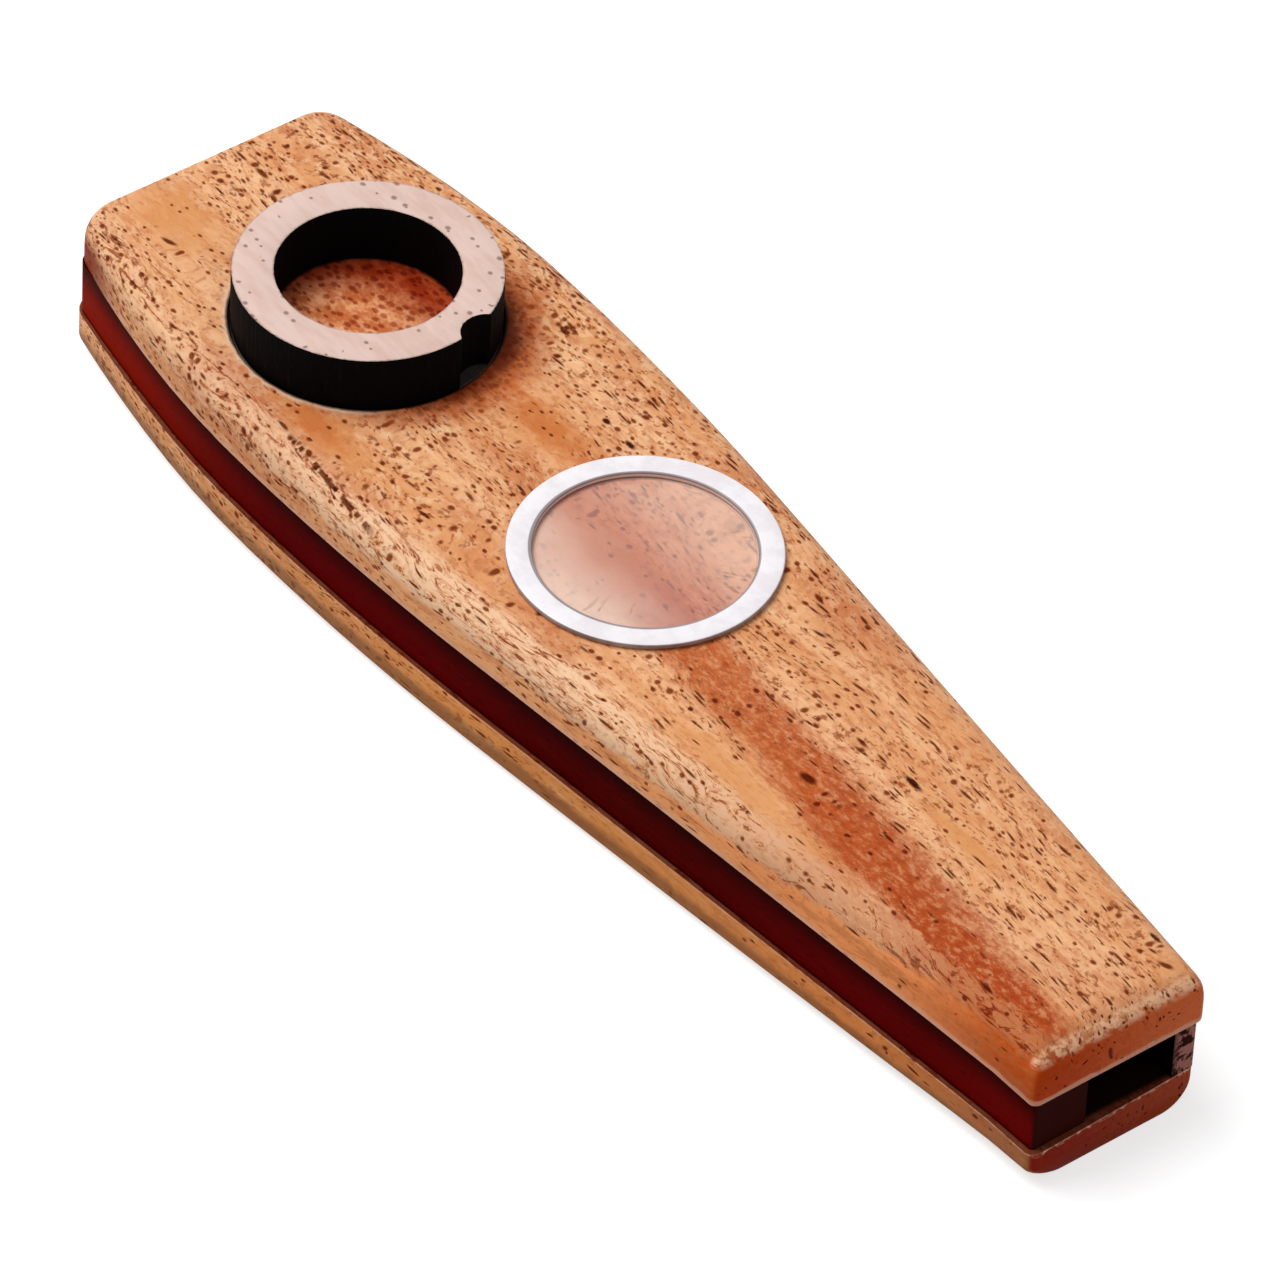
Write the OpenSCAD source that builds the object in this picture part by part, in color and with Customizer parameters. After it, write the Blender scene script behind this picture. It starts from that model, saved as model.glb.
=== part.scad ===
// A wooden kazoo: two sanded plates glued to a pair of dark side rails, with an air
// channel between the rails. A charred wooden ring clamps a diaphragm over the sound
// hole, and a spare diaphragm lies on the top plate.
// +X runs along the body from the wide end to the narrow end, +Y to its left side when
// seen from the wide end, and +Z is up. The origin is on the surface that the body
// rests on, under the middle of its length.

/* [Body outline] */
// Length of the body
body_l = 120; // [110:1:140]
// Width across the wide end
wide_end_w = 24.8; // [21:0.2:27]
// Width at the widest place
max_w = 32.6; // [30:0.2:36]
// Distance of the widest place from the wide end
max_w_at = 28; // [24:1:36]
// Distance from the wide end at which the sides run on straight
taper_at = 57; // [48:1:70]
// Width across the narrow end
narrow_end_w = 16.4; // [14:0.2:20]
// Corner radius at the wide end
wide_corner_r = 1.6; // [1:0.1:4]
// Corner radius at the narrow end
narrow_corner_r = 0.8; // [0.6:0.1:3]

/* [Layers] */
// Thickness of the top plate
top_t = 4.4; // [3.6:0.1:6]
// Height of the rails, which is the height of the air channel
rail_h = 5.2; // [4.6:0.1:7]
// Thickness of the bottom plate
bottom_t = 3.8; // [3:0.1:5]
// How far the rails stand back from the edges of the plates
rail_recess = 0.4; // [0.1:0.1:0.6]

/* [Sanded edges] */
// Width of the top plate's rounding along the middle of the sides
top_round_w = 2.6; // [1:0.1:4]
// Width of the top plate's rounding at the ends of the sides
top_round_end_w = 1.8; // [0.8:0.1:4]
// Height of the top plate's rounding
top_round_h = 3; // [1.5:0.1:3.4]
// Depth of the top plate's rounding at the narrow end
top_narrow_ease = 2.2; // [0.4:0.1:3]
// Power that keeps the top plate's rounding shallow where it leaves the flat top
top_crown = 1.5; // [1:0.1:1.8]
// Power that shapes the fall of that rounding, where 1 is a plain elliptical one
top_fall = 0.85; // [0.8:0.05:1]
// Width of the bottom plate's rounding along the middle of the sides
bottom_round_w = 1.4; // [0.6:0.1:3]
// Width of the bottom plate's rounding at the ends of the sides
bottom_round_end_w = 3.4; // [2:0.1:5]
// Height of the bottom plate's rounding along the middle of the sides
bottom_round_h = 0.7; // [0.4:0.1:1.6]
// Height of the bottom plate's rounding at the wide end
bottom_round_wide_h = 1.4; // [1:0.1:2.6]
// Height of the bottom plate's rounding at the narrow end
bottom_round_narrow_h = 2.2; // [1:0.1:2.6]
// Depth of the bottom plate's rounding at the narrow end
bottom_narrow_ease = 0.6; // [0.4:0.1:2]
// Depth of both roundings at the wide end
wide_ease = 0.6; // [0.4:0.1:3]

/* [Air channel] */
// Width of each rail beside the chamber
rail_w = 3.4; // [2.4:0.1:4.6]
// Width of the slot at the narrow end
narrow_slot_w = 8.4; // [6:0.1:9.4]
// Sideways place of that slot, towards +Y
narrow_slot_y = 1.4; // [0:0.1:1.8]
// Length of the straight neck behind the narrow end
narrow_neck_l = 12; // [6:1:20]
// Width of the slot at the wide end
wide_slot_w = 13; // [8:0.5:15]
// Length of the straight neck behind the wide end
wide_neck_l = 3; // [2:0.5:5]
// Length over which the neck at the wide end flares into the chamber
wide_flare_l = 9; // [6:1:14]
// Length over which the neck at the narrow end flares into the chamber
narrow_flare_l = 26; // [12:1:34]

/* [Clamped diaphragm] */
// Distance of the ring's centre from the wide end
ring_at = 23.5; // [20:0.5:32]
// Sideways place of the ring, towards +Y; the hand-sanded body isn't quite even round it
ring_y = -0.8; // [-1.4:0.1:1.4]
// Outer diameter of the ring
ring_d = 21.9; // [20:0.1:23]
// Bore of the ring, and the diameter of the sound hole below it
ring_bore_d = 15; // [12:0.1:16]
// Height of the ring above the top plate
ring_h = 5; // [3.5:0.1:7]
// How deep the foot of the ring stands in its seat
foot_h = 0.3; // [0.2:0.1:0.8]
// Radius of the fingernail notch in the ring's rim
notch_r = 2.2; // [1.4:0.1:3]
// How far the notch bites into the rim
notch_depth = 1.2; // [0.6:0.1:1.8]
// Direction of the notch, from +X towards +Y
notch_turn = 17; // [-60:1:60]

/* [Diaphragms] */
// Outer diameter of a diaphragm
diaphragm_d = 22; // [20:0.1:23]
// Inner diameter of a diaphragm's rim
rim_bore_d = 17.8; // [16.5:0.1:18.5]
// Thickness of a diaphragm's rim
rim_t = 0.5; // [0.3:0.05:0.8]
// Thickness of a diaphragm's film
film_t = 0.1; // [0.1:0.05:0.2]
// Gap round a diaphragm in its seat
seat_gap = 0.15; // [0.1:0.05:0.3]
// Distance of the spare diaphragm's centre from the wide end
spare_at = 58.5; // [50:0.5:70]
// Sideways place of the spare diaphragm, towards +Y
spare_y = 0.8; // [-1.5:0.1:1.6]

/* [Hidden] */

// Counts that set how finely the curved forms are drawn
side_steps = 30;
corner_steps = 5;
round_steps = 9;
channel_steps = 40;
$fn = 96;

// Overrun of every cut past the face that it opens
cut = 1;
// How much smaller than its rim a film is, all round
film_margin = 0.3;
// Powers of a plain elliptical rounding
plain_powers = [1, 1];

// Heights of the glued faces and of the top surface
rail_z = bottom_t;
top_z = rail_z + rail_h;
deck_z = top_z + top_t;
// Depth of the diaphragm's seat, and the heights of its floor and of the ring's foot
seat_depth = rim_t + film_t + foot_h;
seat_z = deck_z - seat_depth;
foot_z = deck_z - foot_h;

function mix(a, b, share) = a + (b - a) * share;
function clamp_share(v) = min(1, max(0, v));
function smooth(v) = let (s = clamp_share(v)) s * s * (3 - 2 * s);

// Half the width at a distance from the wide end: a parabola up to the widest place,
// a flatter one past it, and a straight taper that leaves it without a kink.
taper_fall = (max_w - narrow_end_w) / 2 / ((taper_at - max_w_at) * (2 * body_l - taper_at - max_w_at));
function wide_side(at) = max_w / 2 - (max_w - wide_end_w) / 2 * pow((max_w_at - at) / max_w_at, 2);
function long_side(at) = max_w / 2 - taper_fall * pow(at - max_w_at, 2);
function taper_side(at) = long_side(taper_at) - 2 * taper_fall * (taper_at - max_w_at) * (at - taper_at);
function half_w(at) = at < max_w_at ? wide_side(at) : at < taper_at ? long_side(at) : taper_side(at);

// One side of the outline, drawn in by an inset, from the wide end to the narrow end.
// Each corner is a quarter round that starts square to the end.
function wide_corner(inset) = let (r = wide_corner_r - inset)
    [for (i = [0:corner_steps - 1]) let (a = 90 * i / corner_steps, at = inset + r * (1 - cos(a)))
        [at, half_w(at) - inset - r * (1 - sin(a))]];
function narrow_corner(inset) = let (r = narrow_corner_r - inset)
    [for (i = [corner_steps - 1:-1:0]) let (a = 90 * i / corner_steps, at = body_l - inset - r * (1 - cos(a)))
        [at, half_w(at) - inset - r * (1 - sin(a))]];
function long_edge(inset) = [for (i = [0:side_steps])
    let (at = mix(wide_corner_r, body_l - narrow_corner_r, i / side_steps)) [at, half_w(at) - inset]];
function side_points(inset) = concat(wide_corner(inset), long_edge(inset), narrow_corner(inset));
function other_side(points) = [for (i = [len(points) - 1:-1:0]) [points[i].x, -points[i].y]];

// A plate from its glue face at height 0 up to its sanded face. Every level of its
// rounding is the outline drawn in towards the centre line and towards the middle.
// Widths are given for the middle of the length and the ends, and heights for the
// wide end, the middle and the narrow end.
module sanded_plate(t, widths, heights, narrow_ease, powers) {
    outline = concat(side_points(0), other_side(side_points(0)));
    count = len(outline);
    middle = body_l / 2;
    function end_share(p) = pow((p.x - middle) / middle, 2);
    function ease(p) = p.x < middle ? wide_ease : narrow_ease;
    function rise(p) = mix(heights[1], p.x < middle ? heights[0] : heights[2], end_share(p));
    function in_share(p) = mix(widths[0], widths[1], end_share(p)) / half_w(p.x);
    function eased(p, a) = let (q = pow(1 - cos(a), powers[0]))
        [middle + (p.x - middle) * (1 - ease(p) * q / middle),
         p.y * (1 - in_share(p) * q),
         t - rise(p) * pow(1 - sin(a), powers[1])];
    glued = [for (p = outline) [p.x, p.y, 0]];
    levels = [for (i = [0:round_steps]) for (p = outline) eased(p, 90 * i / round_steps)];
    last = (round_steps + 1) * count;
    walls = [for (row = [0:round_steps]) for (k = [0:count - 1])
        let (a = row * count + k, b = row * count + (k + 1) % count)
        each [[a, b, b + count], [a, b + count, a + count]]];
    polyhedron(
        points = concat(glued, levels),
        faces = concat([[for (k = [count - 1:-1:0]) k]], walls, [[for (k = [0:count - 1]) last + k]]),
        convexity = 4);
}

// Distance of the channel's wall from the centre line, on the side that a slot edge is on
function channel_side(at, slot_edge) = let (open_w = half_w(at) - rail_w) at < body_l / 2
    ? mix(wide_slot_w / 2, open_w, smooth((at - rail_recess - wide_neck_l) / wide_flare_l))
    : mix(slot_edge, open_w, smooth((body_l - rail_recess - narrow_neck_l - at) / narrow_flare_l));

// A rail fills the space between the outline and the channel on one side
module rail(slot_edge) {
    outer = side_points(rail_recess);
    inner = [for (i = [channel_steps:-1:0])
        let (at = mix(rail_recess, body_l - rail_recess, i / channel_steps)) [at, channel_side(at, slot_edge)]];
    linear_extrude(rail_h) polygon(concat(outer, inner));
}

// The outline starts at the wide end, and the origin is under the middle of the length
module on_body(at, y, z) {
    translate([at - body_l / 2, y, z]) children();
}

module bottom_plate() {
    heights = [bottom_round_wide_h, bottom_round_h, bottom_round_narrow_h];
    color("#C9824A") on_body(0, 0, bottom_t) mirror([0, 0, 1]) sanded_plate(
        bottom_t, [bottom_round_w, bottom_round_end_w], heights, bottom_narrow_ease, plain_powers);
}

module left_rail() {
    color("#5E0B0A") on_body(0, 0, rail_z) rail(narrow_slot_w / 2 + narrow_slot_y);
}

module right_rail() {
    color("#5E0B0A") on_body(0, 0, rail_z) mirror([0, 1, 0]) rail(narrow_slot_w / 2 - narrow_slot_y);
}

// The top plate has the sound hole, and round it the seat that centres the diaphragm
module top_plate() {
    widths = [top_round_w, top_round_end_w];
    heights = [top_round_h, top_round_h, top_round_h];
    color("#DB9D65") difference() {
        on_body(0, 0, top_z)
            sanded_plate(top_t, widths, heights, top_narrow_ease, [top_crown, top_fall]);
        on_body(ring_at, ring_y, top_z - cut) cylinder(h = top_t + 2 * cut, d = ring_bore_d);
        on_body(ring_at, ring_y, seat_z) cylinder(h = seat_depth + cut, d = diaphragm_d + 2 * seat_gap);
    }
}

module rim() {
    difference() {
        cylinder(h = rim_t, d = diaphragm_d);
        translate([0, 0, -cut]) cylinder(h = rim_t + 2 * cut, d = rim_bore_d);
    }
}

module film() {
    cylinder(h = film_t, d = diaphragm_d - 2 * film_margin);
}

// The diaphragm in use lies film up, so that the ring presses on the film
module diaphragm_rim() {
    color("#F4F1F6") on_body(ring_at, ring_y, seat_z) rim();
}

module diaphragm_film() {
    color("#B5713F") on_body(ring_at, ring_y, seat_z + rim_t) film();
}

module clamp_ring() {
    body_h = ring_h + foot_h;
    color("#E3CBC2") on_body(ring_at, ring_y, foot_z) difference() {
        cylinder(h = body_h, d = ring_d);
        translate([0, 0, -cut]) cylinder(h = body_h + 2 * cut, d = ring_bore_d);
        rotate(notch_turn) translate([ring_d / 2 - notch_depth + notch_r, 0, -cut])
            cylinder(h = body_h + 2 * cut, r = notch_r);
    }
}

// The spare diaphragm lies film down on the top plate
module spare_film() {
    color("#E0A98C") on_body(spare_at, spare_y, deck_z) film();
}

module spare_rim() {
    color("#F8F5FA") on_body(spare_at, spare_y, deck_z + film_t) rim();
}

bottom_plate();
left_rail();
right_rail();
top_plate();
diaphragm_rim();
diaphragm_film();
clamp_ring();
spare_rim();
spare_film();
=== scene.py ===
# A flat wooden kazoo on a white studio table: two sanded mahogany plates on dark side rails,
# a charred ring that clamps a diaphragm over the sound hole, and a loose spare diaphragm.
# Every piece is in metres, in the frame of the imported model: +X runs to the narrow end, +Z is up.
import math
import random
import bmesh
import bpy
from mathutils import Matrix, Quaternion, Vector, noise


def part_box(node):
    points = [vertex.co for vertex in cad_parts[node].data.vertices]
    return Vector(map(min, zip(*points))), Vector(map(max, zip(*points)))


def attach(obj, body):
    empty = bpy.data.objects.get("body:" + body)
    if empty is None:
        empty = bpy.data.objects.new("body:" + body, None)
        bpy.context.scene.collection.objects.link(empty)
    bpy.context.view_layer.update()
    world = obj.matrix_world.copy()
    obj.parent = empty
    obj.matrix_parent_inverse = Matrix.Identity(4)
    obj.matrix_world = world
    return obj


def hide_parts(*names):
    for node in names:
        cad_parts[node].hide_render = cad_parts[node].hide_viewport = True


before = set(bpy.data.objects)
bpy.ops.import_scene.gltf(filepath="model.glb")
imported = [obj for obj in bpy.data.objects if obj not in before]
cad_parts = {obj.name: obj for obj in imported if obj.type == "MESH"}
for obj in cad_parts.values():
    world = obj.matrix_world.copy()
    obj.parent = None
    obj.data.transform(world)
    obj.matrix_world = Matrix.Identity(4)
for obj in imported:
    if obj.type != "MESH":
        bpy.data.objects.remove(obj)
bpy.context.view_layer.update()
mm = 0.001
deg = math.radians(1)


def middleOf(node):
    low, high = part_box(node)
    return (low + high) / 2


# Node building: a link where the value is a socket, and a plain value otherwise
def addNode(tree, kind, inputs=None, **settings):
    made = tree.nodes.new("ShaderNode" + kind)
    for key, value in settings.items():
        setattr(made, key, value)
    for key, value in (inputs or {}).items():
        if isinstance(value, bpy.types.NodeSocket):
            tree.links.new(value, made.inputs[key])
        else:
            made.inputs[key].default_value = value
    return made


def calc(tree, operation, a, b=0.0, c=0.0, clamp=False):
    made = addNode(tree, "Math", {0: a, 1: b, 2: c}, operation=operation)
    made.use_clamp = clamp
    return made.outputs[0]


def times(tree, a, b, clamp=False):
    return calc(tree, "MULTIPLY", a, b, clamp=clamp)


# value * factor + start
def scaled(tree, value, factor, start):
    return calc(tree, "MULTIPLY_ADD", value, factor, start)


def vectorCalc(tree, operation, a, b=(0, 0, 0)):
    return addNode(tree, "VectorMath", {0: a, 1: b}, operation=operation).outputs[0]


def stretch(tree, vector, factors):
    return vectorCalc(tree, "MULTIPLY", vector, factors)


def lengthOf(tree, vector):
    return addNode(tree, "VectorMath", {0: vector}, operation="LENGTH").outputs["Value"]


def split(tree, vector):
    return addNode(tree, "SeparateXYZ", {0: vector}).outputs


# Rises softly from 0 at low to 1 at high, and falls where low is above high
def soften(tree, value, low, high):
    names = {"Value": value, "From Min": low, "From Max": high}
    return addNode(tree, "MapRange", names, interpolation_type="SMOOTHSTEP").outputs[0]


def colour(code):
    parts = [int(code[i:i + 2], 16) / 255 for i in (1, 3, 5)]
    return (*[p / 12.92 if p <= 0.04045 else ((p + 0.055) / 1.055) ** 2.4 for p in parts], 1.0)


# Each colour is a socket or a code such as "#F2BA8A"
def blendColour(tree, share, first, second, how="MIX"):
    first, second = [colour(c) if isinstance(c, str) else c for c in (first, second)]
    made = addNode(tree, "Mix", {0: share, 6: first, 7: second}, data_type="RGBA", blend_type=how)
    return made.outputs[2]


# Lays one colour over the base where the mask says so, and no more than the given strength
def paint(tree, base, mask, over, strength=1.0, how="MIX"):
    share = mask if strength == 1.0 else times(tree, mask, strength)
    return blendColour(tree, share, base, over, how)


def darken(tree, base, mask, over, strength=1.0):
    return paint(tree, base, mask, over, strength, "MULTIPLY")


def noiseAt(tree, vector, scale=1.0, detail=2.0, roughness=0.5, curl=0.0):
    names = {"Vector": vector, "Scale": scale, "Detail": detail, "Roughness": roughness, "Distortion": curl}
    return addNode(tree, "TexNoise", names).outputs[0]


# Noise with a scale of its own along each axis
def grainNoise(tree, vector, scales, detail=2.0, roughness=0.5, curl=0.0):
    return noiseAt(tree, stretch(tree, vector, scales), 1.0, detail, roughness, curl)


def newGroup(name, inputs, outputs):
    group = bpy.data.node_groups.new(name, "ShaderNodeTree")
    for label, kind, value in inputs:
        socket = group.interface.new_socket(label, in_out="INPUT", socket_type="NodeSocket" + kind)
        if value is not None:
            socket.default_value = value
    for label, kind in outputs:
        group.interface.new_socket(label, in_out="OUTPUT", socket_type="NodeSocket" + kind)
    given = group.nodes.new("NodeGroupInput").outputs
    return group, given, group.nodes.new("NodeGroupOutput").inputs


def useGroup(tree, group, inputs):
    return addNode(tree, "Group", inputs, node_tree=group).outputs


# Bends straight grain: the fibres wander sideways over the given reach, in mm
def makeGrainBend():
    group, given, out = newGroup("grainBend", [
        ("Vector", "Vector", None), ("Reach", "Float", 1.0)], [("Vector", "Vector")])
    slow = noiseField(group, stretch(group, given["Vector"], (0.022, 0.09, 0.09)))
    quick = noiseField(group, stretch(group, given["Vector"], (0.10, 0.35, 0.35)))
    quick = stretch(group, quick, (0.0, 0.3, 0.3))
    sideways = vectorCalc(group, "ADD", stretch(group, slow, (0.0, 1.0, 0.6)), quick)
    moved = addNode(group, "VectorMath", {0: sideways, 3: given["Reach"]}, operation="SCALE").outputs[0]
    group.links.new(vectorCalc(group, "ADD", given["Vector"], moved), out["Vector"])
    return group


def noiseField(tree, vector):
    made = addNode(tree, "TexNoise", {"Vector": vector, "Scale": 1.0, "Detail": 1.0})
    return vectorCalc(tree, "SUBTRACT", made.outputs["Color"], (0.5, 0.5, 0.5))


# Open vessels: each cell holds one short tube along the grain, cut through by the surface.
# The flat kind keeps every tube in view, for thin flat pieces.
def makePores(name, dimensions):
    group, given, out = newGroup(name, [
        ("Vector", "Vector", None), ("Length", "Float", 2.6), ("Width", "Float", 0.55),
        ("Size", "Float", 0.3), ("Share", "Float", 1.0)], [("Mask", "Float")])
    cell = addNode(group, "CombineXYZ", {0: given["Length"], 1: given["Width"], 2: given["Width"]}).outputs[0]
    place = vectorCalc(group, "DIVIDE", given["Vector"], cell)
    voronoi = addNode(group, "TexVoronoi", {"Vector": place, "Scale": 1.0}, voronoi_dimensions=dimensions)
    draw = addNode(group, "SeparateColor", {0: voronoi.outputs["Color"]}).outputs
    rim = times(group, given["Size"], scaled(group, draw[0], 0.55, 0.45))
    inside = calc(group, "DIVIDE", voronoi.outputs["Distance"], rim)
    kept = calc(group, "LESS_THAN", draw[1], given["Share"])
    group.links.new(times(group, soften(group, inside, 1.05, 0.45), kept), out["Mask"])
    return group


# Worn edges with a painted highlight on them: where the rounded normal leaves the real one, broken up by a
# noise
def makeEdgeWearAndHighlight():
    group, given, out = newGroup("edgeWearAndHighlight", [
        ("Vector", "Vector", None), ("Radius", "Float", 0.3 * mm),
        ("Amount", "Float", 1.0)], [("Mask", "Float")])
    rounded = addNode(group, "Bevel", {"Radius": given["Radius"]}, samples=6).outputs[0]
    real = addNode(group, "NewGeometry").outputs["Normal"]
    turned = addNode(group, "VectorMath", {0: rounded, 1: real}, operation="DOT_PRODUCT").outputs["Value"]
    wornAndHighlit = soften(group, turned, 0.995, 0.86)
    broken = soften(group, noiseAt(group, given["Vector"], 1.3, 4.0, 0.65), 0.34, 0.62)
    shown = times(group, times(group, wornAndHighlit, broken), given["Amount"], clamp=True)
    group.links.new(shown, out["Mask"])
    return group


# Marks that the sandpaper left along the grain, for roughness and bump
def makeSanding():
    group, given, out = newGroup("sandingMarks", [("Vector", "Vector", None)], [("Height", "Float")])
    fine = grainNoise(group, given["Vector"], (0.35, 9.0, 9.0), 3.0, 0.6)
    cross = grainNoise(group, given["Vector"], (1.6, 0.5, 1.6))
    group.links.new(scaled(group, cross, 0.4, times(group, fine, 0.6)), out["Height"])
    return group


grainBend, edgeWearAndHighlight, sandingMarks = makeGrainBend(), makeEdgeWearAndHighlight(), makeSanding()
pores, flatPores = makePores("pores", "3D"), makePores("flatPores", "2D")
print("shared node groups made")


def newMaterial(name):
    material = bpy.data.materials.new(name)
    material.use_nodes = True
    tree = material.node_tree
    tree.nodes.clear()
    shader = tree.nodes.new("ShaderNodeBsdfPrincipled")
    output = tree.nodes.new("ShaderNodeOutputMaterial")
    tree.links.new(shader.outputs[0], output.inputs["Surface"])
    return material, tree, shader.inputs


# Object coordinates in mm, moved by an offset so that no two pieces share a pattern
def placeInMm(tree, offset=(0, 0, 0)):
    place = addNode(tree, "TexCoord").outputs["Object"]
    names = {"Vector": place, "Location": offset, "Scale": (1 / mm, 1 / mm, 1 / mm)}
    return addNode(tree, "Mapping", names).outputs[0]


# The parts of the direction that the surface faces
def facing(tree):
    return split(tree, addNode(tree, "TexCoord").outputs["Normal"])


# Distance in plan from the origin of the given coordinates
def planReach(tree, vector):
    return lengthOf(tree, stretch(tree, vector, (1, 1, 0)))


# The cell gives the room for one vessel along and across the grain, in mm
def poreMask(tree, group, vector, cell, size, share):
    names = {"Vector": vector, "Length": cell[0], "Width": cell[1], "Size": size, "Share": share}
    return useGroup(tree, group, names)["Mask"]


def setBump(tree, shader, heights, distance):
    total = heights[0]
    for more in heights[1:]:
        total = calc(tree, "ADD", total, more)
    bump = addNode(tree, "Bump", {"Strength": 1.0, "Distance": distance, "Height": total})
    tree.links.new(bump.outputs[0], shader["Normal"])


# The hand-sanded body isn't quite even, in mm: the lower layers swell at the wide end, both glue
# lines dip a little towards the narrow end, the near corner stayed sharper there, and the
# bottom plate's end is convex, with its far corner cut back
uneven = {
    "wideFrom": -44.0, "wideEnd": -60.0, "narrowFrom": 50.0, "narrowEnd": 60.0, "half": 8.2,
    "bow": 0.7, "cut": 0.75, "point": 0.4,
    "dip": 0.45, "dipFrom": 5.0, "glueLow": 3.8, "glueHigh": 9.0, "top": 13.4,
}


# Height in mm with the dip of the glue lines taken out
def levelled(tree, x, z):
    reach = uneven["narrowEnd"] - uneven["dipFrom"]
    along = calc(tree, "MAXIMUM", scaled(tree, x, 1 / reach, -uneven["dipFrom"] / reach), 0.0)
    return scaled(tree, along, uneven["dip"], z)


# Distance in from the plates' outline in mm: two parabolas and a straight taper, and the ends
outline = {
    "half": 16.3, "wideHalf": 12.4, "narrowHalf": 8.2,
    "wideEnd": -60.0, "widestAt": -32.0, "taperAt": -3.0, "narrowEnd": 60.0,
}


def makeEdgeDistance():
    group, given, out = newGroup("edgeDistance", [
        ("Vector", "Vector", None)], [("Sides", "Float"), ("Ends", "Float")])
    x, y, z = split(group, given["Vector"])
    rising, falling = outline["widestAt"] - outline["wideEnd"], outline["taperAt"] - outline["widestAt"]
    straight = outline["narrowEnd"] - outline["taperAt"]
    fall = (outline["half"] - outline["narrowHalf"]) / (falling * (falling + 2 * straight))
    rise = (outline["half"] - outline["wideHalf"]) / rising ** 2
    before = calc(group, "MAXIMUM", calc(group, "SUBTRACT", outline["widestAt"], x), 0.0)
    before = times(group, calc(group, "POWER", before, 2.0), rise)
    past = calc(group, "SUBTRACT", x, outline["widestAt"])
    curved = calc(group, "MINIMUM", calc(group, "MAXIMUM", past, 0.0), falling)
    curved = times(group, calc(group, "POWER", curved, 2.0), fall)
    taper = calc(group, "MAXIMUM", calc(group, "SUBTRACT", past, falling), 0.0)
    taper = times(group, taper, 2 * fall * falling)
    lost = calc(group, "ADD", before, calc(group, "ADD", curved, taper))
    half = calc(group, "SUBTRACT", outline["half"], lost)
    group.links.new(calc(group, "SUBTRACT", half, calc(group, "ABSOLUTE", y)), out["Sides"])
    group.links.new(calc(group, "SUBTRACT", outline["narrowEnd"], calc(group, "ABSOLUTE", x)), out["Ends"])
    return group


edgeDistance = makeEdgeDistance()

# The figured mahogany of the two plates: its colours, among them painted shadow, painted highlights and
# painted shade, then places in mm. Each pair is where the dark near corner or the torn end edge starts and
# where it is full.
plateWood = {
    "light": "#F2BA8A", "middle": "#E3A06C", "dark": "#C27146", "island": "#F6CCA2",
    "finePore": "#AC7C58", "pore": "#94603E", "deepPore": "#80583C", "mark": "#4A2414",
    "streak": "#BC5824", "streakEnd": "#AC4214", "blotch": "#8A2C0A", "smooth": "#DB945A",
    "crease": "#F2C8A2", "sheenEnd": "#BE7244", "wearAndHighlight": "#F0CFB2", "inside": "#0D0503",
    "sootAndShade": "#1C0C07", "shade": "#CC5C22", "shadeNear": "#6A1804", "shadeDot": "#6E1E08",
    "side": "#FFB276", "sideMiddle": "#FF9E5C", "sideNarrow": "#C65010", "sideDark": "#C06834",
    "end": "#BC3E0A", "endFar": "#DC6C3A", "endEdge": "#FFC8A0", "ember": "#C66A32",
    "corner": "#862A00", "lowerEdgeHighlight": "#EAB094", "low": "#8C5A36", "ledge": "#641408", "chip": "#F2CCAE",
    "facetFrom": 12.65, "facetFull": 12.0, "facetDrop": 1.3, "glueTop": 9.0, "glueBottom": 3.8,
    "cornerHeight": (12.2, 10.6), "cornerReach": (-50.0, -58.0), "cornerSide": (2.0, -6.0),
    "tornHeight": (12.2, 12.9), "tornReach": (58.7, 59.2), "tornNoise": (0.40, 0.56),
}


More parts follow.
